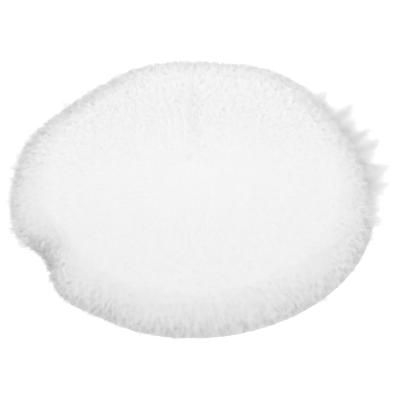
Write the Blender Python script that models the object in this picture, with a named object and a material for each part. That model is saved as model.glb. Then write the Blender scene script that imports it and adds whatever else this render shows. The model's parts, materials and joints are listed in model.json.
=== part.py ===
"""A round faux fur tree skirt with a trunk hole, and a slit that closes with an overlap.

Frame: metres, +Z up, the skirt lies on the plane z = 0 with its centre over the origin. The slit runs
from the trunk hole to the rim along +Y. The overlap flap is on its +X side and the underlap flap, with
the placket, on its -X side. Each flap lifts about a straight fold line, from the hole's edge to the rim.
"""

import bmesh
import bpy
from math import atan2, cos, pi, radians, sin, tan
from mathutils import Matrix, Vector

# Cloth outline
CLOTH_RADIUS = 0.342  # centre to the outside of the hem tape
HOLE_RADIUS = 0.045  # centre to the inside of the hole tape

# Layers, from the floor up
FELT_THICKNESS = 0.0034
GROUND_THICKNESS = 0.0012
PILE_LOFT = 0.0465  # pile standing on the ground fabric
LAYER_GAP = 0.0003

# Facing tape, turned under along every edge
TAPE_THICKNESS = 0.0005
HEM_TAPE_WIDTH = 0.013
HOLE_TAPE_WIDTH = 0.010
SLIT_TAPE_WIDTH = 0.010

# Outline of the pile
PILE_OVERHANG = 0.048  # how far the pile reaches past the hem
PILE_FLOOR_GAP = 0.0006
RIM_ROLL = 0.070  # width of the rounded shoulder at the rim
RIM_WAIST = 0.012  # height at which the rim is widest
RIM_TUCK = 0.010  # how far the rim turns in below its waist
CROWN_DROP = 0.0025  # from the middle to the shoulder
LIP_ROLL = 0.026  # width of the rounded lip at the hole
LIP_DROP = 0.020

# Slit and its fastening
SLIT_GAP = 0.0006
FOLD_GAP = 0.0004
PLACKET_WIDTH = 0.033  # tongue that lies under the overlap flap
PLACKET_SEAM = 0.014  # part that is sewn under the underlap flap
PLACKET_THICKNESS = 0.0008
LOOP_THICKNESS = 0.0008
PATCH_LENGTH = 0.040
PATCH_MARGIN = 0.002  # bare tongue round a patch
PATCH_CORNER = 0.003
PATCH_COUNT = 3
FELT_CLEARANCE = 0.003  # between the backing and the placket
END_CLEARANCE = 0.0012  # between the slit's pieces and the two round tapes

# Fold lines of the flaps, as azimuths from the slit
FOLD_AT_HOLE = radians(80)
FOLD_AT_RIM = radians(40)
OVERLAP_LIFT = radians(75)
UNDERLAP_LIFT = radians(22.5)
GROOVE_SPARE = radians(0.75)

# Care label, flat in the underside of the backing
LABEL_LENGTH = 0.045
LABEL_WIDTH = 0.024
LABEL_THICKNESS = 0.0003
LABEL_CORNER = 0.0003
LABEL_AZIMUTH = radians(228)
LABEL_SETBACK = 0.012  # from the hem tape

# Fineness of the round shapes
RING_STEPS = 72
ARC_STEPS = 6

CUTTER_SPARE = 0.005  # how far a cutter runs past what it cuts
SHARP_ANGLE = radians(38)  # edges bent more than this stay crisp

# Levels that follow from the layers
GROUND_BOTTOM = FELT_THICKNESS + LAYER_GAP
HINGE_HEIGHT = GROUND_BOTTOM + GROUND_THICKNESS
PILE_BOTTOM = HINGE_HEIGHT + LAYER_GAP
PILE_TOP = PILE_BOTTOM + PILE_LOFT
TAPE_CLEAR = TAPE_THICKNESS + LAYER_GAP
PILE_RADIUS = CLOTH_RADIUS + PILE_OVERHANG

OVERLAP, UNDERLAP = 1, -1
LIFT = {OVERLAP: OVERLAP_LIFT, UNDERLAP: UNDERLAP_LIFT}


def clear_scene():
    for obj in list(bpy.data.objects):
        bpy.data.objects.remove(obj, do_unlink=True)


def around(radius, azimuth, height=0.0):
    """The point at an azimuth that is counted from the slit towards +X."""
    return Vector((radius * sin(azimuth), radius * cos(azimuth), height))


# The overlap's fold line. The underlap's is its mirror image across the slit.
FOLD_START = around(HOLE_RADIUS, FOLD_AT_HOLE, HINGE_HEIGHT)
FOLD_END = around(CLOTH_RADIUS, FOLD_AT_RIM, HINGE_HEIGHT)
FOLD_DIRECTION = (FOLD_END - FOLD_START).normalized()
FOLD_OUTWARD = Vector((FOLD_DIRECTION.y, -FOLD_DIRECTION.x, 0))
FOLD_DISTANCE = FOLD_START.dot(FOLD_OUTWARD)


def fold_point(side, along, outward, height):
    """The point given by its distances along a fold line's direction and outwards from the centre."""
    point = FOLD_DIRECTION * along + FOLD_OUTWARD * outward
    return Vector((side * point.x, point.y, height))


def slit_point(side, setback, along, height):
    """The point beside the slit, at a setback from it, that is this far along a fold line's direction."""
    return Vector((side * setback, (along - FOLD_DIRECTION.x * setback) / FOLD_DIRECTION.y, height))


def elliptic(centre, reach, first, last):
    """Points (radius, height) along a stretch of an ellipse, both ends included."""
    turns = [first + (last - first) * k / ARC_STEPS for k in range(ARC_STEPS + 1)]
    return [(centre[0] + reach[0] * cos(t), centre[1] + reach[1] * sin(t)) for t in turns]


def pile_profile():
    """Cross-section of the pile, from its inner lower corner up, over the crown and down the rim."""
    lip = elliptic(
        (HOLE_RADIUS + LIP_ROLL, PILE_TOP - LIP_DROP), (-LIP_ROLL, LIP_DROP), 0, pi / 2
    )
    shoulder = elliptic(
        (PILE_RADIUS - RIM_ROLL, RIM_WAIST),
        (RIM_ROLL, PILE_TOP - CROWN_DROP - RIM_WAIST),
        pi / 2,
        0,
    )
    tuck = elliptic(
        (PILE_RADIUS - RIM_TUCK, RIM_WAIST),
        (RIM_TUCK, PILE_FLOOR_GAP - RIM_WAIST),
        0,
        pi / 2,
    )
    past_hem = CLOTH_RADIUS + LAYER_GAP
    under = [(past_hem, PILE_FLOOR_GAP), (past_hem, PILE_BOTTOM), (HOLE_RADIUS, PILE_BOTTOM)]
    return lip + shoulder + tuck[1:] + under


def ground_profile():
    inner = HOLE_RADIUS + TAPE_CLEAR
    outer = CLOTH_RADIUS - TAPE_CLEAR
    return [
        (inner, GROUND_BOTTOM),
        (inner, HINGE_HEIGHT),
        (outer, HINGE_HEIGHT),
        (outer, GROUND_BOTTOM),
    ]


def felt_profile():
    """Cross-section of the backing, pressed thinner where a tape lies under its edges."""
    inner = HOLE_RADIUS + TAPE_CLEAR
    outer = CLOTH_RADIUS - TAPE_CLEAR
    hole_step = HOLE_RADIUS + HOLE_TAPE_WIDTH + LAYER_GAP
    hem_step = CLOTH_RADIUS - HEM_TAPE_WIDTH - LAYER_GAP
    return [
        (inner, TAPE_CLEAR),
        (inner, FELT_THICKNESS),
        (outer, FELT_THICKNESS),
        (outer, TAPE_CLEAR),
        (hem_step, TAPE_CLEAR),
        (hem_step, 0.0),
        (hole_step, 0.0),
        (hole_step, TAPE_CLEAR),
    ]


def tape_profile(edge, inward, width):
    """L-shaped cross-section of a tape that covers an edge and turns under it; inward is +1 or -1."""
    return [
        (edge, 0.0),
        (edge, HINGE_HEIGHT),
        (edge + inward * TAPE_THICKNESS, HINGE_HEIGHT),
        (edge + inward * TAPE_THICKNESS, TAPE_THICKNESS),
        (edge + inward * width, TAPE_THICKNESS),
        (edge + inward * width, 0.0),
    ]


HEM_PROFILE = tape_profile(CLOTH_RADIUS, -1, HEM_TAPE_WIDTH)
HOLE_PROFILE = tape_profile(HOLE_RADIUS, 1, HOLE_TAPE_WIDTH)


def material(name, colour, roughness, sheen=0.0):
    made = bpy.data.materials.new(name)
    made.use_nodes = True
    shader = made.node_tree.nodes["Principled BSDF"]
    shader.inputs["Base Color"].default_value = (*colour, 1.0)
    shader.inputs["Roughness"].default_value = roughness
    shader.inputs["Metallic"].default_value = 0.0
    shader.inputs["Sheen Weight"].default_value = sheen
    return made


def finish(name, mesh_builder, finish_values):
    """Makes the named object from a bmesh, with its normals out, smooth shading and its own material."""
    bmesh.ops.recalc_face_normals(mesh_builder, faces=mesh_builder.faces)
    mesh = bpy.data.meshes.new(name)
    mesh_builder.to_mesh(mesh)
    mesh_builder.free()
    mesh.shade_smooth()
    mesh.set_sharp_from_angle(angle=SHARP_ANGLE)
    mesh.materials.append(material(name, *finish_values))
    obj = bpy.data.objects.new(name, mesh)
    bpy.context.scene.collection.objects.link(obj)
    return obj


def ring(name, profile, finish_values):
    """A closed ring round the origin with this cross-section of (radius, height) corners."""
    bm = bmesh.new()
    turns = [
        [bm.verts.new(around(radius, 2 * pi * k / RING_STEPS, height)) for radius, height in profile]
        for k in range(RING_STEPS)
    ]
    for here, after in zip(turns, turns[1:] + turns[:1]):
        for k in range(len(profile)):
            bm.faces.new((here[k - 1], here[k], after[k], after[k - 1]))
    return finish(name, bm, finish_values)


def prism(name, outline, axis, low, high, finish_values):
    """A closed solid: an outline in the plane across an axis, drawn out from low to high along it."""
    place = {
        "Y": lambda a, b, along: (a, along, b),
        "Z": lambda a, b, along: (a, b, along),
    }[axis]
    bm = bmesh.new()
    near = [bm.verts.new(place(a, b, low)) for a, b in outline]
    far = [bm.verts.new(place(a, b, high)) for a, b in outline]
    for k in range(len(outline)):
        after = (k + 1) % len(outline)
        bm.faces.new((near[k], near[after], far[after], far[k]))
    caps = [bm.faces.new(near), bm.faces.new(far)]
    bmesh.ops.triangulate(bm, faces=caps, ngon_method="EAR_CLIP")
    return finish(name, bm, finish_values)


def rounded_outline(centre, half_width, half_length, corner):
    """Corner points of a rectangle with rounded corners."""
    points = []
    for quarter, (sx, sy) in enumerate(((1, 1), (-1, 1), (-1, -1), (1, -1))):
        for k in range(ARC_STEPS + 1):
            turn = (quarter + k / ARC_STEPS) * pi / 2
            x = centre[0] + sx * (half_width - corner) + corner * cos(turn)
            y = centre[1] + sy * (half_length - corner) + corner * sin(turn)
            points.append((x, y))
    return points


# Colour, roughness and sheen of each kind of piece
FUR = ((0.93, 0.93, 0.93), 0.9, 0.4)
KNIT = ((0.86, 0.86, 0.85), 0.9)
FELT = ((0.82, 0.82, 0.80), 0.95)
TAPE = ((0.90, 0.90, 0.89), 0.7)
HOOKS = ((0.88, 0.88, 0.87), 0.5)
LOOPS = ((0.87, 0.87, 0.86), 0.85)
LABEL = ((0.94, 0.94, 0.93), 0.5)
CUTTER = ((0.5, 0.5, 0.5), 1.0)

# Each sheet: the main part's name, the word for its flap parts, its cross-section, how far its edge
# stands off the slit on the overlap flap and on the underlap flap, and its finish
SHEETS = (
    ("fur_pile", "pile", pile_profile(), SLIT_GAP / 2, SLIT_GAP / 2, FUR),
    ("ground_fabric", "ground", ground_profile(), SLIT_GAP / 2 + TAPE_CLEAR, SLIT_GAP / 2, KNIT),
    (
        "felt_backing",
        "felt",
        felt_profile(),
        PLACKET_WIDTH + FELT_CLEARANCE,
        PLACKET_SEAM + SLIT_GAP,
        FELT,
    ),
    ("hem_tape", "hem_tape", HEM_PROFILE, SLIT_GAP / 2, SLIT_GAP / 2, TAPE),
    ("hole_tape", "hole_tape", HOLE_PROFILE, SLIT_GAP / 2, SLIT_GAP / 2, TAPE),
)


def region(name, side, setback, gap_side):
    """A cutter over the ground between the slit and a fold line.

    Its edge beside the slit stands off by the setback. Its edge at the fold is straight up to the
    hinge's height and then leans, towards the slit for a flap (gap_side -1) or away from it for the
    main part (gap_side +1), so that the pile on both sides forms a groove that a lift closes.
    """
    half_angle = LIFT[side] / 2 + GROOVE_SPARE
    first = FOLD_START.dot(FOLD_DIRECTION) - (FOLD_GAP if gap_side > 0 else 0.0)
    last = 2 * PILE_RADIUS
    bm = bmesh.new()
    levels = []
    for height in (-CUTTER_SPARE, HINGE_HEIGHT, PILE_TOP + CUTTER_SPARE):
        lean = max(0.0, height - HINGE_HEIGHT) * tan(half_angle)
        outward = FOLD_DISTANCE + gap_side * (FOLD_GAP / 2 + lean)
        corners = (
            fold_point(side, first, outward, height),
            fold_point(side, last, outward, height),
            slit_point(side, setback, last, height),
            slit_point(side, setback, first, height),
        )
        levels.append([bm.verts.new(corner) for corner in corners])
    for low, high in zip(levels, levels[1:]):
        for k in range(len(low)):
            bm.faces.new((low[k - 1], low[k], high[k], high[k - 1]))
    bm.faces.new(levels[0])
    bm.faces.new(levels[-1])
    return as_cutter(finish(name, bm, CUTTER))


def as_cutter(obj):
    obj.hide_render = True
    obj.display_type = "WIRE"
    return obj


def cut(obj, operation, cutter):
    """Cuts away a cutter's space (DIFFERENCE), or all but it (INTERSECT)."""
    modifier = obj.modifiers.new(cutter.name, "BOOLEAN")
    modifier.operation = operation
    modifier.solver = "EXACT"
    modifier.object = cutter


def build_sheets():
    """Each layer of cloth and each round tape, as a main part and two flap parts that meet at the folds."""
    words = {OVERLAP: "overlap", UNDERLAP: "underlap"}
    # A little past the slit, so that the two spaces leave nothing between them
    spaces = [region(f"{words[side]}_space", side, -CUTTER_SPARE, 1) for side in words]
    main, flaps = [], {OVERLAP: [], UNDERLAP: []}
    for main_name, flap_name, profile, overlap_setback, underlap_setback, values in SHEETS:
        sheet = ring(main_name, profile, values)
        for space in spaces:
            cut(sheet, "DIFFERENCE", space)
        main.append(sheet)
        for side, setback in ((OVERLAP, overlap_setback), (UNDERLAP, underlap_setback)):
            flap = ring(f"{words[side]}_{flap_name}", profile, values)
            cut(flap, "INTERSECT", region(f"{flap.name}_region", side, setback, -1))
            flaps[side].append(flap)
    return main, flaps


SLIT_FIRST = HOLE_RADIUS + HOLE_TAPE_WIDTH + END_CLEARANCE
SLIT_LAST = CLOTH_RADIUS - HEM_TAPE_WIDTH - END_CLEARANCE


def straight_end(reach):
    """How far along the slit a straight piece may run, if its far corner stands this far off the slit."""
    return (SLIT_LAST**2 - reach**2) ** 0.5


def build_slit_tape():
    """The tape on the overlap flap, which covers the ground fabric at the slit and turns under it."""
    edge = SLIT_GAP / 2
    top_of_leg = GROUND_BOTTOM - LAYER_GAP
    bottom_of_leg = top_of_leg - TAPE_THICKNESS
    outline = [
        (edge, bottom_of_leg),
        (edge, HINGE_HEIGHT),
        (edge + TAPE_THICKNESS, HINGE_HEIGHT),
        (edge + TAPE_THICKNESS, top_of_leg),
        (edge + SLIT_TAPE_WIDTH, top_of_leg),
        (edge + SLIT_TAPE_WIDTH, bottom_of_leg),
    ]
    return prism("slit_tape", outline, "Y", SLIT_FIRST, straight_end(SLIT_TAPE_WIDTH + edge), TAPE)


def build_placket():
    """The strip under the slit: a full-height seam part below the underlap flap, and a thin tongue."""
    seam_edge = -SLIT_GAP / 2
    outline = [
        (-PLACKET_SEAM, 0.0),
        (-PLACKET_SEAM, FELT_THICKNESS),
        (seam_edge, FELT_THICKNESS),
        (seam_edge, PLACKET_THICKNESS),
        (PLACKET_WIDTH, PLACKET_THICKNESS),
        (PLACKET_WIDTH, 0.0),
    ]
    return prism("placket", outline, "Y", SLIT_FIRST, straight_end(PLACKET_WIDTH), TAPE)


def build_patches():
    """Pairs of fastener patches: hooks under the overlap flap, loops on the placket's tongue."""
    inner = SLIT_GAP / 2 + SLIT_TAPE_WIDTH + PATCH_MARGIN / 2
    outer = PLACKET_WIDTH - PATCH_MARGIN
    centre_x, half_width = (inner + outer) / 2, (outer - inner) / 2
    loop_bottom = PLACKET_THICKNESS + LAYER_GAP
    loop_top = loop_bottom + LOOP_THICKNESS
    hook_bottom = loop_top + LAYER_GAP
    hook_top = GROUND_BOTTOM - LAYER_GAP
    pitch = (straight_end(PLACKET_WIDTH) - SLIT_FIRST) / PATCH_COUNT
    hooks, loops = [], []
    for number in range(1, PATCH_COUNT + 1):
        centre = (centre_x, SLIT_FIRST + (number - 0.5) * pitch)
        outline = rounded_outline(centre, half_width, PATCH_LENGTH / 2, PATCH_CORNER)
        hooks.append(prism(f"hook_patch_{number}", outline, "Z", hook_bottom, hook_top, HOOKS))
        loops.append(prism(f"loop_patch_{number}", outline, "Z", loop_bottom, loop_top, LOOPS))
    return hooks, loops


def build_care_label(felt):
    """A blank label under the backing, which is pressed in round it, so that both lie on the floor."""
    middle = CLOTH_RADIUS - HEM_TAPE_WIDTH - LABEL_SETBACK - LABEL_WIDTH / 2
    turn = Matrix.Rotation(-LABEL_AZIMUTH, 4, "Z")

    def plate(name, spare, low, high, values):
        outline = rounded_outline(
            (0, middle), LABEL_LENGTH / 2 + spare, LABEL_WIDTH / 2 + spare, LABEL_CORNER + spare
        )
        made = prism(name, outline, "Z", low, high, values)
        made.matrix_world = turn
        return made

    plate("care_label", 0.0, 0.0, LABEL_THICKNESS, LABEL)
    press_top = LABEL_THICKNESS + LAYER_GAP
    cutter = plate("label_press", LAYER_GAP, -FELT_THICKNESS, press_top, CUTTER)
    cut(felt, "DIFFERENCE", as_cutter(cutter))


def hinge(name, side, pieces):
    """An empty on a flap's fold line, with its Y axis along the line, that carries the flap's pieces."""
    empty = bpy.data.objects.new(name, None)
    empty.empty_display_size = HOLE_RADIUS
    bpy.context.scene.collection.objects.link(empty)
    turn = Matrix.Rotation(-side * atan2(FOLD_DIRECTION.x, FOLD_DIRECTION.y), 4, "Z")
    start = Vector((side * FOLD_START.x, FOLD_START.y, FOLD_START.z))
    empty.matrix_world = Matrix.Translation(start) @ turn
    for piece in pieces:
        piece.parent = empty
        piece.matrix_parent_inverse = empty.matrix_world.inverted()


def main():
    clear_scene()
    sheets, flaps = build_sheets()
    hooks, loops = build_patches()
    felt = sheets[2]
    build_care_label(felt)
    hinge("overlap_hinge", OVERLAP, flaps[OVERLAP] + [build_slit_tape()] + hooks)
    hinge("underlap_hinge", UNDERLAP, flaps[UNDERLAP] + [build_placket()] + loops)


main()
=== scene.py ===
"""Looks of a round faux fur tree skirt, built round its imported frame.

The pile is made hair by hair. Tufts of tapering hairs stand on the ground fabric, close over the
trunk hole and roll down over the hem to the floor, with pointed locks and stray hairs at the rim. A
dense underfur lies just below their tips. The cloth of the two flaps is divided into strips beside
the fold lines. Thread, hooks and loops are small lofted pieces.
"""

import json
import logging
from dataclasses import dataclass, field
from enum import Enum
from math import atan2, cos, pi, radians, sin

import bmesh
import bpy
import numpy as np
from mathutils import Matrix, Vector

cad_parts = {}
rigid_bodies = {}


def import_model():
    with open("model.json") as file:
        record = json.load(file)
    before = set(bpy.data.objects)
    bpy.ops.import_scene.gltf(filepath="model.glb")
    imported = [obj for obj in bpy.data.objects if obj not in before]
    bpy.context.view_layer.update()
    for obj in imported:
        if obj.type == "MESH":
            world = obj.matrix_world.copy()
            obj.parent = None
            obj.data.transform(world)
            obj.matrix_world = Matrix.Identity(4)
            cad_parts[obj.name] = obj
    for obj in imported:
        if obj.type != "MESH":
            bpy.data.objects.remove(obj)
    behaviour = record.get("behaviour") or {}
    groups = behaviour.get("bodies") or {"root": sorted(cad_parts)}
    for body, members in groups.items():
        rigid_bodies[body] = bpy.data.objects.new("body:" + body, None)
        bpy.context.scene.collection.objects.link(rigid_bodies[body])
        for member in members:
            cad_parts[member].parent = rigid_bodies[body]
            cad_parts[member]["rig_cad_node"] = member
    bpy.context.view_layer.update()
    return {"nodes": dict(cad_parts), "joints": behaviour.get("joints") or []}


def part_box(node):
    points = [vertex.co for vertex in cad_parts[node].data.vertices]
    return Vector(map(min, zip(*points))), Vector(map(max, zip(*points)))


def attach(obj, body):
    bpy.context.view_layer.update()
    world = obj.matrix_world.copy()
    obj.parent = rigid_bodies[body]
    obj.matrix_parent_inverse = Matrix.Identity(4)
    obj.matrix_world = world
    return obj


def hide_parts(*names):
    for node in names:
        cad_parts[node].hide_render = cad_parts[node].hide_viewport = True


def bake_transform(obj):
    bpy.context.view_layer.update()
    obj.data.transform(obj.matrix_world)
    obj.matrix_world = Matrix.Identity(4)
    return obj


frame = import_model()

LOG = logging.getLogger("tree_skirt")
BAKE_MAP = "OFBake"
MM = 0.001
BEND_DEPTH = 0.040  # how far in from its fold line a flap's cloth and underfur are cut into strips
PATCHES = (1, 2, 3)


class Side(Enum):
    """A flap beside the slit. The value is the sign of its X coordinates."""

    OVERLAP = 1
    UNDERLAP = -1

    @property
    def word(self) -> str:
        """The word that the names of the flap's nodes start with."""
        return self.name.lower()

    @property
    def body(self) -> str:
        """The body that carries the flap."""
        return f"{self.word}_flap"


class Weave(Enum):
    """How a cloth's surface is made."""

    KNIT = "knit"
    TWILL = "twill"
    SATIN = "satin"


# ---------------------------------------------------------------- meshes


def unit(vectors: np.ndarray) -> np.ndarray:
    """Scales vectors along the last axis to length 1.

    Args:
        vectors: vectors of any length above zero.

    Returns:
        The unit vectors.
    """
    return vectors / np.maximum(np.linalg.norm(vectors, axis=-1, keepdims=True), 1e-12)


def linked(name: str, mesh: bpy.types.Mesh) -> bpy.types.Object:
    """Makes a smooth-shaded object of a mesh and puts it in the scene.

    Args:
        name: the object's name.
        mesh: its mesh.

    Returns:
        The object.
    """
    mesh.shade_smooth()
    obj = bpy.data.objects.new(name, mesh)
    bpy.context.scene.collection.objects.link(obj)
    return obj


def from_bmesh(name: str, bm: bmesh.types.BMesh) -> bpy.types.Object:
    """Makes a smooth-shaded object of a mesh in edit, which is freed.

    Args:
        name: the object's name.
        bm: the mesh in edit.

    Returns:
        The object.
    """
    mesh = bpy.data.meshes.new(name)
    bm.to_mesh(mesh)
    bm.free()
    return linked(name, mesh)


def divide(bm: bmesh.types.BMesh, point: tuple, normal: tuple | Vector) -> None:
    """Cuts every face of a mesh along a plane, and keeps both sides."""
    parts = bm.verts[:] + bm.edges[:] + bm.faces[:]
    bmesh.ops.bisect_plane(bm, geom=parts, plane_co=point, plane_no=normal)


def report(piece: bpy.types.Object) -> None:
    """Reports a finished piece."""
    LOG.info("%s: %d faces", piece.name, len(piece.data.polygons))


def make_object(
    name: str,
    points: np.ndarray,
    quads: np.ndarray,
    triangles: np.ndarray,
    uv: np.ndarray | None = None,
) -> bpy.types.Object:
    """Makes a smooth-shaded mesh object from arrays.

    Args:
        name: the object's name.
        points: corner points, one row each, in metres.
        quads: rows of four point numbers.
        triangles: rows of three point numbers.
        uv: one (u, v) row for each point, for the map that colours are read from.

    Returns:
        The linked object.
    """
    mesh = bpy.data.meshes.new(name)
    mesh.vertices.add(len(points))
    mesh.vertices.foreach_set("co", points.astype(np.float32).ravel())
    corners = np.concatenate([quads.ravel(), triangles.ravel()]).astype(np.int32)
    mesh.loops.add(len(corners))
    mesh.loops.foreach_set("vertex_index", corners)
    quad_starts = np.arange(len(quads)) * 4
    triangle_starts = quads.size + np.arange(len(triangles)) * 3
    starts = np.concatenate([quad_starts, triangle_starts]).astype(np.int32)
    mesh.polygons.add(len(starts))
    mesh.polygons.foreach_set("loop_start", starts)
    mesh.update(calc_edges=True)
    if uv is not None:
        layer = mesh.uv_layers.new(name=BAKE_MAP)
        layer.data.foreach_set("uv", uv[corners].astype(np.float32).ravel())
    return linked(name, mesh)


def numbered(pattern: np.ndarray, count: int, points_each: int) -> np.ndarray:
    """Repeats a pattern of faces for many alike items.

    Args:
        pattern: faces of one item, as rows of its own point numbers.
        count: how many items there are.
        points_each: how many points each item has.

    Returns:
        The faces of all the items.
    """
    firsts = np.arange(count)[:, None, None] * points_each
    return (pattern[None] + firsts).reshape(-1, pattern.shape[1])


HAIR_FACES = np.array([[1, 2, 4], [2, 3, 4], [3, 1, 4], [2, 1, 0], [3, 2, 0], [1, 3, 0]])
HAIR_ALONG = np.array([0.02, 0.6, 0.6, 0.6, 0.98])  # each point's way along the hair, in the map
HAIR_BESIDE = np.array([0.0, -0.004, 0.004, 0.0, 0.0])  # and its place beside the hair's tone
LEAST_FACING = 0.04  # how far a shading direction leans out of its face, at the least


@dataclass
class Hairs:
    """Three-sided hairs. Each has three points: its root, its widest place and its tip."""

    paths: np.ndarray
    widths: np.ndarray
    across: np.ndarray
    tones: np.ndarray
    facing: np.ndarray

    def arrays(self) -> tuple[np.ndarray, ...]:
        """The arrays that hold the hairs, in the order of the fields."""
        return self.paths, self.widths, self.across, self.tones, self.facing

    def chosen(self, keep: np.ndarray) -> "Hairs":
        """The hairs that a mask keeps."""
        return Hairs(*(values[keep] for values in self.arrays()))

    @staticmethod
    def joined(groups: list["Hairs"]) -> "Hairs":
        """All the hairs of several groups, in order."""
        return Hairs(*(np.concatenate(parts) for parts in zip(*(g.arrays() for g in groups))))

    def points(self) -> np.ndarray:
        """Works out the five points of each hair: its root, a ring of three, and its tip.

        Returns:
            One row of points for each hair.
        """
        root, ring, tip = (self.paths[:, k] for k in range(3))
        along = unit(tip - ring)
        first = unit(np.cross(along, self.across))
        second = np.cross(along, first)
        turns = (2 * pi * np.arange(3) / 3)[None, :, None]
        spokes = first[:, None] * np.cos(turns) + second[:, None] * np.sin(turns)
        rings = ring[:, None] + 0.5 * self.widths[:, None, None] * spokes
        return np.concatenate([root[:, None], rings, tip[:, None]], axis=1)

    def normals(self, points: np.ndarray) -> np.ndarray:
        """The direction that each face is shaded in, which never points against the face.

        The longer a hair's facing is, from 0 to 1, the more its shading follows that direction.

        Args:
            points: the five points of each hair.

        Returns:
            One direction for each face of each hair.
        """
        corners = points[:, HAIR_FACES]
        first, second, third = (corners[:, :, k] for k in range(3))
        flat = unit(np.cross(second - first, third - first))
        softness = np.linalg.norm(self.facing, axis=1)[:, None, None]
        soft = unit(flat * (1.0 - softness) + self.facing[:, None])
        against = np.sum(soft * flat, axis=2, keepdims=True) - LEAST_FACING
        return unit(soft - np.minimum(against, 0.0) * flat)

    def build(self, name: str) -> bpy.types.Object:
        """Makes one mesh of all the hairs.

        Args:
            name: the object's name.

        Returns:
            The object. Its map holds each hair's tone across and the way along it from root to tip.
        """
        points = self.points()
        tone = np.clip(0.01 + 0.98 * self.tones, 0.005, 0.995)
        u = tone[:, None] + HAIR_BESIDE[None]
        uv = np.stack([u, np.broadcast_to(HAIR_ALONG, u.shape)], axis=-1).reshape(-1, 2)
        faces = numbered(HAIR_FACES, len(points), points.shape[1])
        obj = make_object(name, points.reshape(-1, 3), np.empty((0, 4), int), faces, uv)
        normals = np.repeat(self.normals(points).reshape(-1, 3), 3, axis=0)
        obj.data.normals_split_custom_set(normals)
        return obj


def lofted(
    name: str, paths: np.ndarray, radii: np.ndarray, facing: np.ndarray, sides: int
) -> bpy.types.Object:
    """Makes round threads that close to a point at both ends.

    Args:
        name: the object's name.
        paths: one row of points for each thread.
        radii: the radius at each level between a thread's two end points.
        facing: one direction for each thread, not along it.
        sides: how many sides a thread has.

    Returns:
        The object.
    """
    count, levels = paths.shape[:2]
    along = unit(paths[:, 2:] - paths[:, :-2])
    first = unit(np.cross(along, facing[:, None]))
    second = np.cross(along, first)
    turns = 2 * pi * np.arange(sides) / sides
    spokes = (
        first[:, :, None] * np.cos(turns)[None, None, :, None]
        + second[:, :, None] * np.sin(turns)[None, None, :, None]
    )
    rings = paths[:, 1:-1, None] + spokes * radii[None, :, None, None]
    points = np.concatenate([paths[:, :1], rings.reshape(count, -1, 3), paths[:, -1:]], axis=1)
    each = points.shape[1]
    k = np.arange(sides)
    after = (k + 1) % sides
    quads = [
        np.stack([1 + r * sides + k, 1 + r * sides + after, 1 + (r + 1) * sides + after,
                  1 + (r + 1) * sides + k], axis=1)
        for r in range(levels - 3)
    ]
    last = 1 + (levels - 3) * sides
    ends = [
        np.stack([0 * k, 1 + after, 1 + k], axis=1),
        np.stack([0 * k + each - 1, last + k, last + after], axis=1),
    ]
    return make_object(
        name,
        points.reshape(-1, 3),
        numbered(np.concatenate(quads), count, each),
        numbered(np.concatenate(ends), count, each),
    )


# ---------------------------------------------------------------- the skirt's plan


@dataclass(frozen=True)
class FoldLine:
    """The straight line across which a flap bends when it lifts."""

    start: np.ndarray
    direction: np.ndarray
    outward: np.ndarray
    height: float

    @staticmethod
    def of_joint(joint: dict, side: Side) -> "FoldLine":
        """Reads a flap's fold line from its joint.

        Args:
            joint: the joint, with its point and axis.
            side: the flap that it carries.

        Returns:
            The fold line, with its direction towards the rim.
        """
        x, y, height = joint["pos_m"]
        direction = np.array(joint["axis"][:2], float)
        direction = direction / np.linalg.norm(direction) * np.sign(direction[0] * side.value)
        outward = side.value * np.array([direction[1], -direction[0]])
        return FoldLine(np.array([x, y]), direction, outward, height)

    def depth(self, x: np.ndarray, y: np.ndarray) -> np.ndarray:
        """How far points lie inside the flap, from the fold line. It is negative outside it."""
        return (self.start[0] - x) * self.outward[0] + (self.start[1] - y) * self.outward[1]

    def point(self, depth: float) -> tuple[float, float, float]:
        """The point at a depth inside the flap, level with the hinge, beside the fold's start."""
        x, y = self.start - self.outward * depth
        return float(x), float(y), self.height

    def bend(self, piece: bpy.types.Object, body: str) -> None:
        """Bakes a piece's transform into its mesh; the piece is neither blended nor carried by a
        flap's body.
        """
        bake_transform(piece)


@dataclass(frozen=True)
class SkirtPlan:
    """Sizes of the skirt, as the frame gives them."""

    cloth_radius: float
    hole_radius: float
    pile_top: float
    folds: dict[Side, FoldLine]

    @staticmethod
    def of_frame() -> "SkirtPlan":
        """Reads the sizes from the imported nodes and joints.

        Returns:
            The plan.
        """
        joints = {joint["child"]: joint for joint in frame["joints"]}
        folds = {side: FoldLine.of_joint(joints[side.body], side) for side in Side}
        return SkirtPlan(
            cloth_radius=-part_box("hem_tape")[0].y,
            hole_radius=float(np.linalg.norm(folds[Side.OVERLAP].start)),
            pile_top=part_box("fur_pile")[1].z,
            folds=folds,
        )

    @property
    def ground_top(self) -> float:
        """The upper face of the ground fabric, where the pile stands."""
        return self.folds[Side.OVERLAP].height

    def on_flap(self, side: Side, x: np.ndarray, y: np.ndarray) -> np.ndarray:
        """Which points lie on a flap."""
        return (side.value * x > 0) & (y > 0) & (self.folds[side].depth(x, y) > 0)


# ---------------------------------------------------------------- finishes


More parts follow.
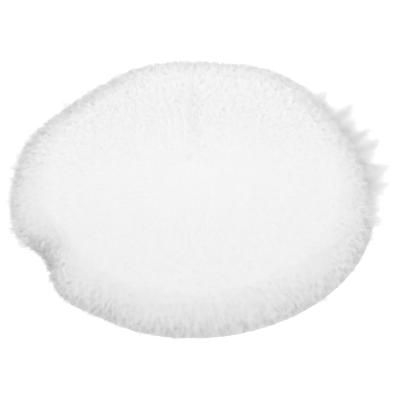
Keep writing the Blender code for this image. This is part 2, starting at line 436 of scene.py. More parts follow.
class Graph:
    """A material's nodes, made and joined with short calls."""

    def __init__(self, name: str) -> None:
        """Starts a material that holds one Principled shader.

        Args:
            name: the material's name.
        """
        self.material = bpy.data.materials.new(name)
        self.material.use_nodes = True
        self.tree = self.material.node_tree
        self.shader = self.tree.nodes["Principled BSDF"]

    def node(self, kind: str, values: dict | None = None, **settings: object) -> bpy.types.Node:
        """Adds a node.

        Args:
            kind: the node's Blender type, without ShaderNode.
            values: each input's name or number, and its value or the socket that feeds it.
            settings: the node's own settings.

        Returns:
            The node.
        """
        made = self.tree.nodes.new("ShaderNode" + kind)
        for key, value in settings.items():
            setattr(made, key, value)
        for key, value in (values or {}).items():
            self.feed(made.inputs[key], value)
        return made

    def feed(self, socket: bpy.types.NodeSocket, value: object) -> None:
        """Gives an input its value, or joins it to the socket that feeds it.

        Args:
            socket: the input.
            value: the value, or the socket that feeds the input.
        """
        if isinstance(value, bpy.types.NodeSocket):
            self.tree.links.new(value, socket)
        else:
            socket.default_value = value

    def shade(self, **values: object) -> None:
        """Sets the shader's inputs, whose names are given with _ for each space."""
        for key, value in values.items():
            self.feed(self.shader.inputs[key.replace("_", " ")], value)

    def place(self) -> bpy.types.NodeSocket:
        """The position on the object, in metres."""
        return self.node("TexCoord").outputs["Object"]

    def noise(
        self, scale: float, detail: float = 2.0, where: object = None
    ) -> bpy.types.NodeSocket:
        """Soft noise from 0 to 1, with this many patches to the metre."""
        place = self.place() if where is None else where
        return self.node("TexNoise", {"Vector": place, "Scale": scale, "Detail": detail}).outputs[0]

    def spread(self, value: object, low: float, high: float) -> bpy.types.NodeSocket:
        """A value from 0 to 1, spread between two others."""
        made = self.node("MapRange", {"Value": value, "To Min": low, "To Max": high})
        return made.outputs["Result"]

    def math(self, operation: str, first: object, second: object = 0.0) -> bpy.types.NodeSocket:
        """The result of one sum on two values."""
        return self.node("Math", {0: first, 1: second}, operation=operation).outputs[0]

    def grey(self, value: object, tint: tuple[float, float, float]) -> bpy.types.NodeSocket:
        """Makes a brightness into a colour.

        Args:
            value: the brightness.
            tint: what its red, green and blue are multiplied by.

        Returns:
            The colour.
        """
        combined = self.node("CombineXYZ", {axis: value for axis in range(3)}).outputs[0]
        mixed = self.node("VectorMath", {0: combined, 1: tint}, operation="MULTIPLY")
        return mixed.outputs[0]

    def bump(self, height: object, depth: float) -> bpy.types.NodeSocket:
        """The normal of a surface raised by a height from 0 to 1, times a depth in metres."""
        return self.node("Bump", {"Height": height, "Distance": depth}).outputs[0]


@dataclass(frozen=True)
class FurFinish:
    """White acrylic hair, with painted shade towards the root and small differences from hair to
    hair.
    """

    # root and tip: the tone at each end of a hair; the darker root is painted shade deep in the
    # pile
    root: float = 0.94
    tip: float = 0.995
    tone: float = 0.99
    tint: tuple[float, float, float] = (1.0, 1.0, 1.0)
    # how far along the hair, from the root, the painted shade fades out
    fully_toned: float = 0.75
    roughness: float = 0.78
    sheen: float = 0.25
    shine: float = 0.3

    def build(self) -> bpy.types.Material:
        """Makes the material, whose colour is read from each hair's map.

        Returns:
            The material.
        """
        graph = Graph("white_fur")
        uv = graph.node("UVMap", uv_map=BAKE_MAP).outputs[0]
        split = graph.node("SeparateXYZ", {0: uv})
        # Painted shade: the tone falls from the tip towards the root, where light reaches less into
        # the pile.
        ends = {"From Max": self.fully_toned, "To Min": self.root, "To Max": self.tip}
        along = graph.node("MapRange", {"Value": split.outputs[1], **ends}).outputs["Result"]
        tone = graph.spread(split.outputs[0], self.tone, 1.0)
        colour = graph.grey(graph.math("MULTIPLY", along, tone), self.tint)
        graph.shade(Base_Color=colour, Roughness=self.roughness, Sheen_Weight=self.sheen)
        graph.shade(Specular_IOR_Level=self.shine)
        return graph.material


@dataclass(frozen=True)
class UnderfurFinish:
    """The same white hair, seen as a dense layer: faint clouds and fine specks in its tone."""

    base: float = 0.975
    tint: tuple[float, float, float] = (1.0, 1.0, 1.0)
    cloud: float = 0.010
    cloud_scale: float = 45.0
    speck: float = 0.006
    speck_scale: float = 900.0
    roughness: float = 0.85
    sheen: float = 0.25
    shine: float = 0.3

    def build(self) -> bpy.types.Material:
        """Makes the material.

        Returns:
            The material.
        """
        graph = Graph("white_underfur")
        clouds = graph.spread(graph.noise(self.cloud_scale), -self.cloud, self.cloud)
        specks = graph.noise(self.speck_scale)
        specks = graph.spread(specks, self.base - self.speck, self.base + self.speck)
        graph.shade(Base_Color=graph.grey(graph.math("ADD", clouds, specks), self.tint))
        graph.shade(Roughness=self.roughness, Sheen_Weight=self.sheen)
        graph.shade(Specular_IOR_Level=self.shine)
        return graph.material


@dataclass(frozen=True)
class FeltFinish:
    """Pressed felt: matted fibres, with faint clouds in its tone."""

    base: float = 0.80
    tint: tuple[float, float, float] = (1.0, 0.995, 0.975)
    variation: float = 0.1
    fibre_scale: float = 900.0
    matting_scale: float = 160.0
    cloud_scale: float = 28.0
    clouds: tuple[float, float] = (0.95, 1.04)
    depth: float = 0.35 * MM
    roughness: float = 0.95
    sheen: float = 0.3

    def build(self) -> bpy.types.Material:
        """Makes the material.

        Returns:
            The material.
        """
        graph = Graph("felt")
        bent = graph.noise(self.matting_scale, 3.0)
        place = graph.node("VectorMath", {0: graph.place(), 1: bent}, operation="ADD").outputs[0]
        fibres = graph.noise(self.fibre_scale, 4.0, place)
        clouds = graph.spread(graph.noise(self.cloud_scale), *self.clouds)
        tone = graph.spread(fibres, self.base - self.variation, self.base + self.variation)
        tone = graph.math("MULTIPLY", tone, clouds)
        graph.shade(Base_Color=graph.grey(tone, self.tint), Normal=graph.bump(fibres, self.depth))
        graph.shade(Roughness=self.roughness, Sheen_Weight=self.sheen)
        return graph.material


@dataclass(frozen=True)
class ClothFinish:
    """A knitted or woven cloth whose threads run along two crossed directions."""

    name: str
    weave: Weave
    base: float
    pitch: float
    roughness: float
    depth: float = 0.12 * MM
    sheen: float = 0.15
    tint: tuple[float, float, float] = (1.0, 1.0, 0.985)
    # darker: painted shade where the weave lies low; lighter: painted light where it stands high
    darker: float = 0.09
    lighter: float = 0.03
    slub: float = 0.05
    slub_scale: float = 420.0

    def build(self) -> bpy.types.Material:
        """Makes the material. Its threads are the product of two crossed waves.

        Returns:
            The material.
        """
        graph = Graph(self.name)
        split = graph.node("SeparateXYZ", {0: graph.place()})
        x, y = split.outputs[0], split.outputs[1]
        turn = 2 * pi / self.pitch
        across = {
            Weave.KNIT: (x, y, 1.0, 0.5),
            Weave.TWILL: (graph.math("ADD", x, y), graph.math("SUBTRACT", x, y), 1.0, 0.7),
            Weave.SATIN: (x, y, 2.0, 0.25),
        }[self.weave]
        first = graph.math("SINE", graph.math("MULTIPLY", across[0], turn * across[2]))
        second = graph.math("SINE", graph.math("MULTIPLY", across[1], turn * across[3]))
        woven = graph.math("MULTIPLY", graph.math("MULTIPLY", first, second), 0.5)
        height = graph.math("ADD", woven, 0.5)
        slubs = graph.spread(graph.noise(self.slub_scale, 3.0), -self.slub, self.slub)
        # The tone follows the weave's height: painted shade in the hollows between threads, painted
        # light on their raised tops.
        tone = graph.spread(height, self.base - self.darker, self.base + self.lighter)
        colour = graph.grey(graph.math("ADD", tone, slubs), self.tint)
        graph.shade(Base_Color=colour, Normal=graph.bump(height, self.depth))
        graph.shade(Roughness=self.roughness, Sheen_Weight=self.sheen)
        return graph.material


@dataclass(frozen=True)
class FilamentFinish:
    """Smooth plastic or spun filament: small marks in its tone and a fine grain."""

    name: str
    base: float
    roughness: float
    tint: tuple[float, float, float] = (1.0, 1.0, 0.99)
    darker: float = 0.06
    lighter: float = 0.05
    grain_scale: float = 1500.0
    grain_depth: float = 0.04 * MM

    def build(self) -> bpy.types.Material:
        """Makes the material.

        Returns:
            The material.
        """
        graph = Graph(self.name)
        grain = graph.noise(self.grain_scale, 2.0)
        tone = graph.spread(grain, self.base - self.darker, self.base + self.lighter)
        graph.shade(Base_Color=graph.grey(tone, self.tint))
        graph.shade(Normal=graph.bump(grain, self.grain_depth), Roughness=self.roughness)
        return graph.material


@dataclass
class Finishes:
    """Every finish of the skirt, by name."""

    made: dict[str, bpy.types.Material] = field(default_factory=dict)

    def build(self) -> "Finishes":
        """Makes the materials.

        Returns:
            The finishes themselves, ready to use.
        """
        kinds = {
            "fur": FurFinish(),
            "underfur": UnderfurFinish(),
            "knit": ClothFinish("knitted_ground", Weave.KNIT, 0.85, 1.4 * MM, 0.9),
            "felt": FeltFinish(),
            "tape": ClothFinish("woven_tape", Weave.TWILL, 0.88, 1.1 * MM, 0.72),
            "hooks": FilamentFinish("hook_tape", 0.86, 0.42),
            "loops": FilamentFinish("loop_tape", 0.85, 0.8),
            "label": ClothFinish("satin_label", Weave.SATIN, 0.92, 0.7 * MM, 0.38, 0.05 * MM),
            "thread": FilamentFinish("sewing_thread", 0.87, 0.55),
        }
        self.made = {slot: kind.build() for slot, kind in kinds.items()}
        return self

    def dress(self, obj: bpy.types.Object, finish: str, slot: str | None = None) -> None:
        """Gives an object one finish.

        Args:
            obj: the object.
            finish: the finish's name.
            slot: the record's slot, where it isn't the finish's own name. It is not used.
        """
        if "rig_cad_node" not in obj:
            obj.data.materials.clear()
            obj.data.materials.append(self.made[finish])
            return
        for place in obj.material_slots:
            place.link = "OBJECT"
            place.material = self.made[finish]


# ---------------------------------------------------------------- the pile


@dataclass(frozen=True)
class RimFeature:
    """A place where the pile reaches further out, or less far, than elsewhere round the rim."""

    name: str
    azimuth: float
    half_width: float
    change: float


@dataclass(frozen=True)
class Lock:
    """A pointed lock of hair that stands out of the rim."""

    azimuth: float
    reach: float
    height: float
    half_width: float
    hairs: int
    sweep: float = 0.0


@dataclass(frozen=True)
class Fringe:
    """A stretch of the rim, between two azimuths, where many small locks stand out."""

    first: float
    last: float
    locks: int
    reach: float
    spread: float
    height: float
    hairs_each: int = 110


@dataclass
class PileShape:
    """The surface that the tips of the pile make, from the trunk hole to the floor at the rim."""

    plan: SkirtPlan
    reach: float = 0.390
    roll: float = 0.088
    roundness: float = 1.45
    floor_gap: float = 0.0015
    least_up: float = 0.35
    crown_drop: float = 0.0025
    lean: float = 0.012
    bare_edge: float = 1.0 * MM
    hole_zone: float = 0.125
    rim_zone: float = 0.110
    lean_zone: float = 0.6
    spread_power: float = 1.6
    feature_power: float = 1.4
    flat_steps: int = 30
    turn_steps: int = 60
    features: tuple[RimFeature, ...] = ()

    def __post_init__(self) -> None:
        """Works out the cross-section and the length along it."""
        crown = self.plan.pile_top - self.crown_drop
        turns = np.linspace(pi / 2, 0, self.turn_steps)
        centre = self.reach - self.roll
        flat = np.linspace(0.0, centre, self.flat_steps)[:-1]
        flat_height = self.plan.pile_top - self.crown_drop * (flat / centre) ** 2
        power = 2.0 / self.roundness
        shoulder = centre + self.roll * np.abs(np.cos(turns)) ** power
        shoulder_height = self.floor_gap + (crown - self.floor_gap) * np.abs(np.sin(turns)) ** power
        self.radius = np.concatenate([flat, shoulder])
        self.height = np.concatenate([flat_height, shoulder_height])
        steps = np.hypot(np.diff(self.radius), np.diff(self.height))
        self.length = np.concatenate([[0.0], np.cumsum(steps)])
        self.out = -np.gradient(self.height, self.length)
        self.up = np.gradient(self.radius, self.length)

    def rim_share(self, root_radius: np.ndarray) -> np.ndarray:
        """How far into the rolled rim a root lies, from 0 to 1 at the hem."""
        inner = self.plan.cloth_radius - self.rim_zone
        return np.clip((root_radius - inner) / self.rim_zone, 0.0, 1.0)

    def change(self, azimuth: np.ndarray) -> np.ndarray:
        """Works out how much further than usual the pile reaches.

        Args:
            azimuth: directions in degrees from +X.

        Returns:
            The change in each direction, in metres.
        """
        total = np.zeros_like(azimuth)
        for feature in self.features:
            away = (azimuth - feature.azimuth + 180.0) % 360.0 - 180.0
            total += feature.change * np.exp(-((away / feature.half_width) ** 2))
        return total

    def tips(self, x: np.ndarray, y: np.ndarray) -> tuple[np.ndarray, np.ndarray]:
        """Where hairs with these roots end. Round the hole they spread evenly over the gap.

        Args:
            x: the roots' X coordinates.
            y: the roots' Y coordinates.

        Returns:
            The points of the tips, and the direction that the pile's surface faces at each.
        """
        root = np.hypot(x, y)
        azimuth = np.arctan2(y, x)
        hole, zone = self.plan.hole_radius + self.bare_edge, self.hole_zone
        gained = zone**2 / (zone**2 - hole**2)
        closed = np.sqrt(np.maximum(root**2 - hole**2, 0.0) * gained)
        share = self.rim_share(root)
        spare = self.length[-1] - self.plan.cloth_radius
        lean_zone = self.lean_zone * self.plan.cloth_radius
        lean = self.lean * np.clip((root - zone) / lean_zone, 0.0, 1.0)
        spread = (spare - self.lean) * share**self.spread_power
        along = np.where(root < zone, closed, root) + lean + spread
        radius = np.interp(along, self.length, self.radius)
        height = np.interp(along, self.length, self.height)
        out = np.interp(along, self.length, self.out)
        up = np.interp(along, self.length, self.up)
        radius = radius + self.change(np.degrees(azimuth)) * share**self.feature_power
        east, north = np.cos(azimuth), np.sin(azimuth)
        points = np.stack([radius * east, radius * north, height], axis=-1)
        up = np.maximum(up, self.least_up)
        return points, unit(np.stack([out * east, out * north, up], axis=-1))


@dataclass
class Underfur:
    """The short dense hair below the tips, as one bumpy layer that follows the pile's surface."""

    plan: SkirtPlan
    shape: PileShape
    inset: float = 0.0050
    rim_inset: float = 0.007
    back_inset: float = 0.0036
    back_zone: float = 0.20
    centre_zone: float = 0.040
    centre_radius: float = 0.0006
    floor_gap: float = 0.003
    cell: float = 0.0055
    bump: float = 0.0006
    last_up: float = 0.03
    edge_gap: float = 0.0003
    lap: float = 0.004
    lap_drop: float = 0.0012
    slit_foot: float = 0.0016
    hem_rise: float = 0.0010
    same_place: float = 0.00001
    centre_inset: float = 0.3
    inset_growth: float = 0.7
    feature_from: float = 0.6
    feature_over: float = 0.4
    map_span: float = 2.2
    bend_strips: int = 10
    seed: int = 7

    def grid(self) -> tuple[np.ndarray, np.ndarray]:
        """Rings of points along the cross-section, and the faces between them.

        The last ring lies inward at the hem, so the layer closes the underside of the rolled rim.

        Returns:
            The points and the faces, as rows of four point numbers.
        """
        draw = np.random.default_rng(self.seed)
        shape = self.shape
        along = np.arange(self.centre_radius, shape.length[-1], self.cell)
        out = np.interp(along, shape.length, shape.out)
        up = np.interp(along, shape.length, shape.up)
        along, out, up = along[up > self.last_up], out[up > self.last_up], up[up > self.last_up]
        spokes = int(2 * pi * shape.reach / self.cell)
        turns = 2 * pi * np.arange(spokes) / spokes
        behind = np.clip(along[:, None] * np.sin(turns)[None] / self.back_zone, 0.0, 1.0)
        inset = self.inset + (self.rim_inset * (1.0 - up))[:, None] + self.back_inset * behind
        deeper = self.centre_inset + self.inset_growth * along / self.centre_zone
        inset = inset * np.clip(deeper, self.centre_inset, 1.0)[:, None]
        radius = np.interp(along, shape.length, shape.radius)
        height = np.interp(along, shape.length, shape.height)
        past = (radius - self.feature_from * shape.reach) / (self.feature_over * shape.reach)
        weight = np.clip(past, 0.0, 1.0)[:, None]
        r = radius[:, None] + shape.change(np.degrees(turns))[None] * weight
        raised = draw.uniform(-1, 1, r.shape) * self.bump * (radius / shape.reach)[:, None] - inset
        r = r + raised * out[:, None]
        z = np.maximum(height[:, None] + raised * up[:, None], self.floor_gap)
        r = np.concatenate([r, np.full((1, spokes), self.plan.cloth_radius + self.edge_gap)])
        z = np.concatenate([z, np.full((1, spokes), self.floor_gap + self.hem_rise)])
        points = np.stack([r * np.cos(turns), r * np.sin(turns), z], axis=-1).reshape(-1, 3)
        ring, spoke = np.meshgrid(np.arange(len(r) - 1), np.arange(spokes), indexing="ij")
        after = (spoke + 1) % spokes
        near, far = ring * spokes + spoke, ring * spokes + after
        faces = np.stack([near, near + spokes, far + spokes, far], axis=-1)
        return points, faces.reshape(-1, 4)

    def part(self, name: str, side: Side | None) -> bpy.types.Object:
        """Makes the layer's part on the main body, or on one flap.

        Args:
            name: the object's name.
            side: the flap, or None for the main body.

        Returns:
            The object.
        """
        points, faces = self.grid()
        bm = bmesh.new()
        verts = [bm.verts.new(point) for point in points]
        for face in faces:
            bm.faces.new([verts[k] for k in face])
        for each in Side:
            fold = self.plan.folds[each]
            for k in range(self.bend_strips + 1 if each is side else 1):
                depth = BEND_DEPTH * k / self.bend_strips
                divide(bm, fold.point(depth), (*fold.outward, 0.0))
        edge = -self.lap if side is Side.OVERLAP else -self.edge_gap
        divide(bm, (edge, 0.0, 0.0), (1.0, 0.0, 0.0))
        away = [face for face in bm.faces if not self.belongs(face.calc_center_median(), side)]
        bmesh.ops.delete(bm, geom=away, context="FACES")
        if side is Side.OVERLAP:
            for vertex in bm.verts:
                near = 1.0 - (vertex.co.x + self.lap) / (2 * self.lap)
                vertex.co.z -= self.lap_drop * min(max(2 * near, 0.0), 1.0)
        if side:
            self.close_slit_edge(bm, edge, side)
        layer = bm.loops.layers.uv.new(BAKE_MAP)
        span = self.map_span * self.shape.reach
        for face in bm.faces:
            for loop in face.loops:
                loop[layer].uv = (0.5 + loop.vert.co.x / span, 0.5 + loop.vert.co.y / span)
        return from_bmesh(name, bm)

    def close_slit_edge(self, bm: bmesh.types.BMesh, edge: float, side: Side) -> None:
        """Runs the layer down to the cloth along the slit, as the cut side of the pile.

        Args:
            bm: the layer's mesh.
            edge: the X coordinate that the layer ends at.
            side: the flap that it is on.
        """
        along = [e for e in bm.edges if all(abs(v.co.x - edge) < self.same_place for v in e.verts)]
        made = bmesh.ops.extrude_edge_only(bm, edges=along)["geom"]
        foot = self.slit_foot if side is Side.OVERLAP else -self.slit_foot
        for vertex in made:
            if isinstance(vertex, bmesh.types.BMVert):
                vertex.co.x = foot
                vertex.co.z = min(vertex.co.z, self.plan.ground_top + self.edge_gap)
        bmesh.ops.recalc_face_normals(bm, faces=bm.faces[:])

    def belongs(self, centre: Vector, side: Side | None) -> bool:
        """Tells whether a face is part of a flap's layer.

        Args:
            centre: the face's centre.
            side: the flap, or None for the main body.

        Returns:
            Whether the face belongs there.
        """
        x, y = np.array(centre.x), np.array(centre.y)
        if side is None:
            return not any(self.plan.on_flap(each, x, y) for each in Side)
        past_slit = x > -self.lap if side is Side.OVERLAP else x < -self.edge_gap
        return bool(past_slit and y > 0 and self.plan.folds[side].depth(x, y) > 0)

    def build(self, finishes: "Finishes") -> None:
        """Makes the layer's three parts.

        Args:
            finishes: the skirt's finishes.
        """
        for side in (None, *Side):
            piece = self.part(f"{side.word}_underfur" if side else "underfur", side)
            if side:
                self.plan.folds[side].bend(piece, side.body)
            else:
                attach(piece, "main")
            finishes.dress(piece, "underfur", "fur")
            report(piece)


@dataclass(frozen=True)
class LockHabit:
    """How the hairs of a lock grow and draw together."""

    share: float = 0.95
    fineness: float = 0.40
    softness: float = 0.36
    lift: float = 0.5
    root_spread: float = 0.6
    roots: tuple[float, float] = (0.002, 0.050)
    shortening: float = 0.42
    shortening_power: float = 1.3
    loose_at: float = 1.12
    loose: tuple[float, float, float] = (0.030, 0.030, 0.022)
    facing_up: float = 1.1


@dataclass(frozen=True)
class StrayHabit:
    """How the fine single hairs lie out past the rim, most of them at the front left."""

    count: int = 3200
    front: tuple[float, float] = (238.0, 26.0)
    front_share: float = 0.45
    fineness: float = 0.40
    lift: float = 0.3
    roots: tuple[float, float] = (0.001, 0.012)
    reach: tuple[float, float] = (-0.006, 0.020)
    swing: float = 0.05
    height: tuple[float, float] = (0.001, 0.022)
    facing_up: float = 1.4


@dataclass
class FurCoat:
    """The pile of the whole skirt: tufts, locks at the rim and stray hairs."""

    plan: SkirtPlan
    shape: PileShape
    locks: tuple[Lock, ...]
    fringes: tuple[Fringe, ...]
    lock_habit: LockHabit = LockHabit()
    stray_habit: StrayHabit = StrayHabit()
    tuft_pitch: float = 0.0070
    tuft_spread: float = 0.68
    off_line: float = 0.38
    hairs_each: int = 19
    rim_extra: float = 1.7
    rim_extra_power: float = 1.3
    hair_width: float = 0.62 * MM
    widths: tuple[float, float] = (0.75, 1.2)
    clump: float = 0.34
    rim_clump: float = 0.2
    clumps: tuple[float, float] = (0.6, 1.25)
    sway: float = 0.0042
    drifting: float = 0.7
    scatter: float = 0.25
    loose: tuple[float, float, float] = (0.5, 0.5, 0.12)
    rim_loose: float = 0.7
    lift: float = 0.6
    stand: float = 1.0
    follow: float = 0.30
    follow_growth: float = 2.5
    follow_least: float = 0.15
    rim_follow: float = 0.9
    rim_from: float = 0.75
    rim_over: float = 0.25
    widest: float = 0.6
    nap: float = 1.0
    toss: float = 0.22
    toss_centre: float = 1.3
    toss_fall: float = 3.0
    toss_least: float = 0.3
    shorter: float = 0.035
    rim_shorter: float = 0.12
    under_share: float = 0.12
    under_shorter: tuple[float, float] = (0.12, 0.38)
    ceiling_room: float = 4 * MM
    softness: float = 0.97
    rim_softness: float = 0.72
    shake: float = 0.13
    rim_shake: float = 0.28
    tuft_shake: float = 0.10
    shake_middle: float = 1.2
    shake_change: float = 0.8
    shake_zone: float = 0.12
    upright_zone: float = 0.055
    upright: float = 0.9
    far: float = 0.408
    far_room: float = 0.0145
    slit_zone: float = 0.014
    slit_cross: float = 0.0040
    slit_extra: float = 0.4
    sectors: int = 10
    seed: int = 20

    def __post_init__(self) -> None:
        """Starts the seeded draws."""
        self.draw = np.random.default_rng(self.seed)

    def tuft_centres(self) -> np.ndarray:
        """Places the tufts on a triangular grid, shaken out of line.

        Returns:
            The X and Y coordinates of each tuft's centre.
        """
        pitch = self.tuft_pitch
        reach = self.plan.cloth_radius + pitch
        rows = np.arange(-reach, reach, pitch * sin(pi / 3))
        columns = np.arange(-reach, reach, pitch)
        x, y = np.meshgrid(columns, rows)
        x = x + pitch / 2 * (np.arange(len(rows)) % 2)[:, None]
        centres = np.stack([x.ravel(), y.ravel()], axis=1)
        off = self.off_line
        centres = centres + self.draw.uniform(-off, off, centres.shape) * pitch
        radius = np.hypot(*centres.T)
        inside = (radius > self.plan.hole_radius - pitch / 2) & (radius < reach - pitch / 2)
        return centres[inside]

    def drift(self, x: np.ndarray, y: np.ndarray) -> np.ndarray:
        """Works out a slow change in the way the pile lies, from place to place.

        Args:
            x: the places' X coordinates.
            y: the places' Y coordinates.

        Returns:
            The change in X and Y at each place, from -1 to 1.
        """
        waves = ((31.0, 17.0, 0.3), (-19.0, 37.0, 1.9), (47.0, 29.0, 4.1), (11.0, -53.0, 2.6))
        east = sum(np.sin(a * x + b * y + c) for a, b, c in waves)
        north = sum(np.sin(b * x - a * y + 2 * c) for a, b, c in waves)
        return np.stack([east, north], axis=-1) / len(waves)

    def curved(
        self, roots: np.ndarray, tips: np.ndarray, facing: np.ndarray, lift: float
    ) -> np.ndarray:
        """Points along hairs that leave the cloth steeply and end across the pile's surface.

        Args:
            roots: the points where the hairs start.
            tips: the points where they end.
            facing: the direction that the pile's surface faces at each tip.
            lift: how much more upright than its chord a hair starts.

        Returns:
            One row of points for each hair.
        """
        chord = tips - roots
        length = np.linalg.norm(chord, axis=1, keepdims=True)
        start = unit(chord / length + np.array([0.0, 0.0, 1.0]) * lift)
        radial = tips * np.array([1.0, 1.0, 0.0]) / self.shape.reach
        reached = np.linalg.norm(radial, axis=1, keepdims=True)
        follow = self.follow * np.clip(reached * self.follow_growth, self.follow_least, 1.0)
        at_rim = np.clip((reached - self.rim_from) / self.rim_over, 0.0, 1.0)
        follow = follow + self.rim_follow * at_rim
        calmer = np.clip(self.toss_centre - self.toss_fall * reached, self.toss_least, 1.0)
        toss = self.draw.normal(size=roots.shape) * self.toss * calmer
        end = unit(chord / length * follow + facing * self.stand + radial * self.nap + toss)
        first = (roots + start * length / 3)[:, None]
        second = (tips - end * length / 3)[:, None]
        s = np.array([0.0, self.widest, 1.0])[None, :, None]
        paths = roots[:, None] * (1 - s) ** 3 + first * 3 * s * (1 - s) ** 2
        paths = paths + second * 3 * s**2 * (1 - s) + tips[:, None] * s**3
        paths[..., 2] = np.maximum(paths[..., 2], self.shape.floor_gap / 2)
        return paths

    def held_in(self, paths: np.ndarray) -> np.ndarray:
        """Draws in what lies furthest out, and stands up the hairs that close over the hole.

        Args:
            paths: the points along each hair, which are changed.

        Returns:
            The same points.
        """
        radius = np.hypot(paths[..., 0], paths[..., 1])
        past = np.maximum(radius - self.far, 0.0)
        nearer = np.minimum(radius, self.far) + self.far_room * np.tanh(past / self.far_room)
        paths[..., :2] *= (nearer / radius)[..., None]
        upright = self.upright * np.clip(1.0 - radius[:, 2:] / self.upright_zone, 0.0, 1.0)
        paths[:, 1, :2] += (paths[:, 2, :2] - paths[:, 1, :2]) * upright
        return paths

    def hairs(
        self,
        roots: np.ndarray,
        tips: np.ndarray,
        facing: np.ndarray,
        lift: float,
        width: float,
        softness: float | np.ndarray,
    ) -> Hairs:
        """Makes hairs between roots and tips, each turned and toned by chance.

        Args:
            roots: the points where the hairs start.
            tips: the points where they end.
            facing: the direction that the pile's surface faces at each tip.
            lift: how much more upright than its chord a hair starts.
            width: the hairs' width before chance changes it.
            softness: how far the shading follows the facing, for all or for each.

        Returns:
            The hairs.
        """
        count = len(roots)
        paths = self.held_in(self.curved(roots, tips, facing, lift))
        share = self.shape.rim_share(np.hypot(roots[:, 0], roots[:, 1]))[:, None]
        shake = self.shake + (self.rim_shake - self.shake) * share
        facing = unit(facing + self.draw.normal(size=facing.shape) * shake)
        return Hairs(
            paths,
            width * self.draw.uniform(*self.widths, count),
            unit(self.draw.normal(size=(count, 3))),
            self.draw.beta(2.5, 1.6, count),
            facing * softness,
        )

    def tufts(self) -> Hairs:
        """Makes the hairs of every tuft. Those of one tuft draw together towards a shared tip.

        Returns:
            The hairs.
        """
        centres = self.tuft_centres()
        share = self.shape.rim_share(np.hypot(*centres.T))
        beside = (centres[:, 1] > 0) & (np.abs(centres[:, 0]) < self.slit_zone)
        extra = 1.0 + self.rim_extra * share**self.rim_extra_power + self.slit_extra * beside
        counts = self.hairs_each * extra
        counts = np.round(counts).astype(int)
        tuft = np.repeat(np.arange(len(centres)), counts)
        total = len(tuft)
        turn = self.draw.uniform(0, 2 * pi, total)
        away = self.tuft_pitch * self.tuft_spread * np.sqrt(self.draw.uniform(0, 1, total))
        x = centres[tuft, 0] + away * np.cos(turn)
        y = centres[tuft, 1] + away * np.sin(turn)
        radius = np.hypot(x, y)
        edge = self.shape.bare_edge
        keep = (radius > self.plan.hole_radius + edge) & (radius < self.plan.cloth_radius - edge)
        x, y, tuft = x[keep], y[keep], tuft[keep]
        roots = np.stack([x, y, np.full_like(x, self.plan.ground_top)], axis=1)
        own, facing = self.shape.tips(x, y)
        shared, _ = self.shape.tips(centres[:, 0], centres[:, 1])
        shared[:, :2] += self.drift(centres[:, 0], centres[:, 1]) * self.sway * self.drifting
        loose = self.sway * (1.0 + self.rim_loose * share[:, None])
        shared += self.draw.normal(size=shared.shape) * np.array(self.loose) * loose
        at_rim = self.shape.rim_share(np.hypot(x, y))
        clump = self.clump * (1.0 + self.rim_clump * at_rim)
        clump = clump * self.draw.uniform(*self.clumps, len(x))
        tips = own + (shared[tuft] - own) * clump[:, None]
        tips[:, :2] += self.draw.normal(size=(len(x), 2)) * self.sway * self.scatter
        beside = (y > 0) * np.clip(1.0 - np.abs(x) / self.slit_zone, 0.0, 1.0)
        tips[:, 0] += self.draw.normal(size=len(x)) * self.slit_cross * beside
        short = self.draw.uniform(0.0, self.shorter + self.rim_shorter * at_rim)
        under = self.draw.uniform(0, 1, len(x)) < self.under_share
        short = np.where(under, self.draw.uniform(*self.under_shorter, len(x)), short)
        tips = tips + (roots - tips) * short[:, None]
        ceiling = self.plan.pile_top + self.ceiling_room
        tips[:, 2] = np.clip(tips[:, 2], self.shape.floor_gap, ceiling)
        turned = self.draw.normal(size=shared.shape) * self.tuft_shake
        backward = np.tanh(centres[:, 1:] / self.shake_zone)
        turned = turned * (self.shake_middle + self.shake_change * backward)
        softness = self.softness + (self.rim_softness - self.softness) * at_rim[:, None]
        facing = unit(facing + turned[tuft])
        return self.hairs(roots, tips, facing, self.lift, self.hair_width, softness)

    def fringe_locks(self) -> list[Lock]:
        """Places the small locks of every fringe by chance along it.

        Returns:
            The locks.
        """
        locks = []
        for fringe in self.fringes:
            for azimuth in np.linspace(fringe.first, fringe.last, fringe.locks):
                shift, out, up, width, sweep = self.draw.normal(size=5)
                locks.append(Lock(
                    azimuth=azimuth + shift * 1.2,
                    reach=fringe.reach + out * fringe.spread,
                    height=fringe.height * float(np.clip(1.0 + 0.45 * up, 0.1, 2.0)),
                    half_width=2.0 + 0.4 * width,
                    hairs=fringe.hairs_each,
                    sweep=sweep * 1.2,
                ))
        return locks

    def lock_hairs(self) -> Hairs:
        """Makes the pointed locks at the rim, the large ones and the small ones.

        Returns:
            Their hairs.
        """
        habit = self.lock_habit
        width = self.hair_width * habit.fineness
        groups = []
        for lock in [*self.locks, *self.fringe_locks()]:
            count = int(lock.hairs * habit.share)
            spread = self.draw.normal(size=count) * lock.half_width * habit.root_spread
            azimuth = np.radians(lock.azimuth + spread)
            radius = self.plan.cloth_radius - self.draw.uniform(*habit.roots, count)
            base = np.full(count, self.plan.ground_top)
            roots = np.stack([radius * np.cos(azimuth), radius * np.sin(azimuth), base], axis=1)
            shorter = self.draw.uniform(0, 1, count) ** habit.shortening_power
            along = 1.0 - habit.shortening * shorter
            end_azimuth = np.radians(lock.azimuth + lock.sweep)
            end = np.array([
                lock.reach * cos(end_azimuth), lock.reach * sin(end_azimuth), lock.height,
            ])
            tips = roots + (end - roots) * along[:, None]
            loose = (habit.loose_at - along)[:, None] * np.array(habit.loose)
            tips = tips + self.draw.normal(size=(count, 3)) * loose
            tips[:, 2] = np.clip(tips[:, 2], self.shape.floor_gap, self.plan.pile_top)
            facing = self.outward(tips, habit.facing_up)
            groups.append(self.hairs(roots, tips, facing, habit.lift, width, habit.softness))
        return Hairs.joined(groups)

    @staticmethod
    def outward(tips: np.ndarray, up: float) -> np.ndarray:
        """The directions away from the middle of the skirt, turned up by a share."""
        return unit(unit(tips * np.array([1.0, 1.0, 0.0])) + np.array([0.0, 0.0, up]))

